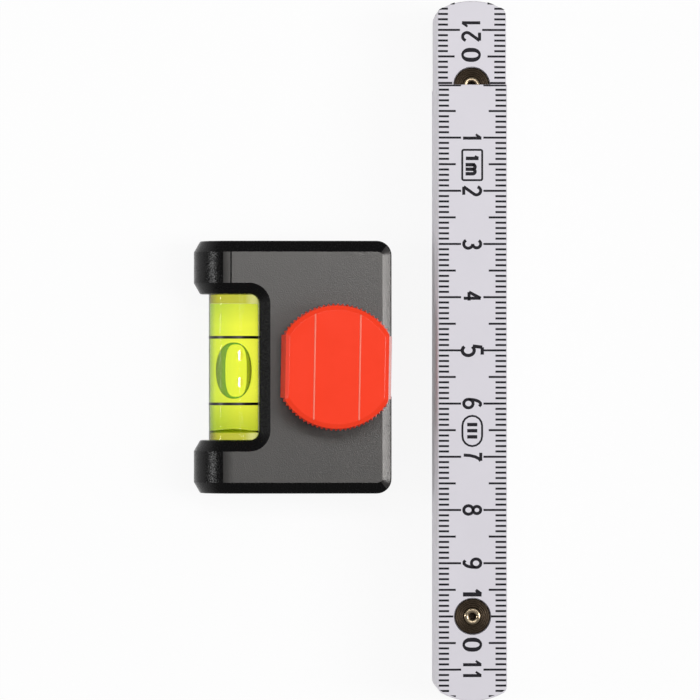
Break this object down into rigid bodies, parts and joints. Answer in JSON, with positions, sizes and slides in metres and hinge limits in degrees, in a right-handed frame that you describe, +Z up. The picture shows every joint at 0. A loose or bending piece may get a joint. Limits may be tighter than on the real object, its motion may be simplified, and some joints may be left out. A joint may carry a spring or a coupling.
{
  "type": "folding levelling rod with clip-on spirit level",
  "caption": "Folding plastic measuring rod with riveted spring joints, lying folded beside its clip-on spirit level with clamping knob and bubble vial.",
  "frame": {"origin": "middle of the ground that the folded rule and the level cover together, on the surface they lie on", "axes": "+Y along the folded rule towards its zero end, +X from the level towards the rule, +Z up out of the printed face"},
  "size_m": [0.0588, 0.1312, 0.0249],
  "materials": {
    "white_plastic": "satin white moulded plastic",
    "dark_bronze": "burnished dark",
    "rolled_rivet": "bright rolled",
    "black_plastic": "fine-textured black",
    "clear_acrylic": "polished clear",
    "vial_liquid": "clear yellow-green liquid",
    "air": "bubble",
    "ring_black": "matt black",
    "red_plastic": "glossy red-orange",
    "zinc_steel": "zinc plated",
    "insert_brass": "turned"
  },
  "bodies": {
    "section_10": {"rule_section_10": "white_plastic", "joint_disc_lower_09": "dark_bronze", "joint_rivet_09": "rolled_rivet"},
    "section_09": {"rule_section_09": "white_plastic", "joint_disc_upper_09": "dark_bronze", "joint_disc_lower_08": "dark_bronze", "joint_rivet_08": "rolled_rivet"},
    "section_08": {"rule_section_08": "white_plastic", "joint_disc_upper_08": "dark_bronze", "joint_disc_lower_07": "dark_bronze", "joint_rivet_07": "rolled_rivet"},
    "section_07": {"rule_section_07": "white_plastic", "joint_disc_upper_07": "dark_bronze", "joint_disc_lower_06": "dark_bronze", "joint_rivet_06": "rolled_rivet"},
    "section_06": {"rule_section_06": "white_plastic", "joint_disc_upper_06": "dark_bronze", "joint_disc_lower_05": "dark_bronze", "joint_rivet_05": "rolled_rivet"},
    "section_05": {"rule_section_05": "white_plastic", "joint_disc_upper_05": "dark_bronze", "joint_disc_lower_04": "dark_bronze", "joint_rivet_04": "rolled_rivet"},
    "section_04": {"rule_section_04": "white_plastic", "joint_disc_upper_04": "dark_bronze", "joint_disc_lower_03": "dark_bronze", "joint_rivet_03": "rolled_rivet"},
    "section_03": {"rule_section_03": "white_plastic", "joint_disc_upper_03": "dark_bronze", "joint_disc_lower_02": "dark_bronze", "joint_rivet_02": "rolled_rivet"},
    "section_02": {"rule_section_02": "white_plastic", "joint_disc_upper_02": "dark_bronze", "joint_disc_lower_01": "dark_bronze", "joint_rivet_01": "rolled_rivet"},
    "section_01": {"rule_section_01": "white_plastic", "joint_disc_upper_01": "dark_bronze"},
    "level": {"level_body": "black_plastic", "vial_tube": "clear_acrylic", "vial_plug": "clear_acrylic", "vial_liquid": "vial_liquid", "vial_ring_upper": "ring_black", "vial_ring_lower": "ring_black", "vial_end_cap": "black_plastic", "thread_insert": "insert_brass"},
    "bubble": {"air_bubble": "air"},
    "clamp_pad": {"pressure_pad": "black_plastic"},
    "clamp_knob": {"clamp_knob": "red_plastic", "clamp_screw": "zinc_steel"}
  },
  "joints": [
    {"name": "fold_90_cm", "type": "hinge", "parent": "section_10", "child": "section_09", "pos_m": [0.02293, -0.05, 0], "axis": [0, 0, -1], "range_deg": [0, 180]},
    {"name": "fold_80_cm", "type": "hinge", "parent": "section_09", "child": "section_08", "pos_m": [0.02293, 0.05, 0], "axis": [0, 0, 1], "range_deg": [0, 180]},
    {"name": "fold_70_cm", "type": "hinge", "parent": "section_08", "child": "section_07", "pos_m": [0.02293, -0.05, 0], "axis": [0, 0, -1], "range_deg": [0, 180]},
    {"name": "fold_60_cm", "type": "hinge", "parent": "section_07", "child": "section_06", "pos_m": [0.02293, 0.05, 0], "axis": [0, 0, 1], "range_deg": [0, 180]},
    {"name": "fold_50_cm", "type": "hinge", "parent": "section_06", "child": "section_05", "pos_m": [0.02293, -0.05, 0], "axis": [0, 0, -1], "range_deg": [0, 180]},
    {"name": "fold_40_cm", "type": "hinge", "parent": "section_05", "child": "section_04", "pos_m": [0.02293, 0.05, 0], "axis": [0, 0, 1], "range_deg": [0, 180]},
    {"name": "fold_30_cm", "type": "hinge", "parent": "section_04", "child": "section_03", "pos_m": [0.02293, -0.05, 0], "axis": [0, 0, -1], "range_deg": [0, 180]},
    {"name": "fold_20_cm", "type": "hinge", "parent": "section_03", "child": "section_02", "pos_m": [0.02293, 0.05, 0], "axis": [0, 0, 1], "range_deg": [0, 180]},
    {"name": "fold_10_cm", "type": "hinge", "parent": "section_02", "child": "section_01", "pos_m": [0.02293, -0.05, 0], "axis": [0, 0, -1], "range_deg": [0, 180]},
    {"name": "level_lift", "type": "slide", "parent": "section_10", "child": "level", "axis": [0, 0, 1], "range_m": [0, 0.05]},
    {"name": "bubble_run", "type": "slide", "parent": "level", "child": "bubble", "axis": [0, 1, 0], "range_m": [-0.004, 0.004], "stiffness_N_per_m": 0.5, "deforming": ["vial_liquid"]},
    {"name": "clamp_travel", "type": "slide", "parent": "level", "child": "clamp_pad", "axis": [0, 0, -1], "range_m": [-0.00091, 0.00261]},
    {"name": "knob_turn", "type": "hinge", "parent": "clamp_pad", "child": "clamp_knob", "pos_m": [-0.00252, -0.00315, 0], "axis": [0, 0, -1], "range_deg": [-324, 936]}
  ],
  "couplings": [
    {"joint": "clamp_travel", "follows": "knob_turn", "m_per_rad": 0.00015915}
  ]
}
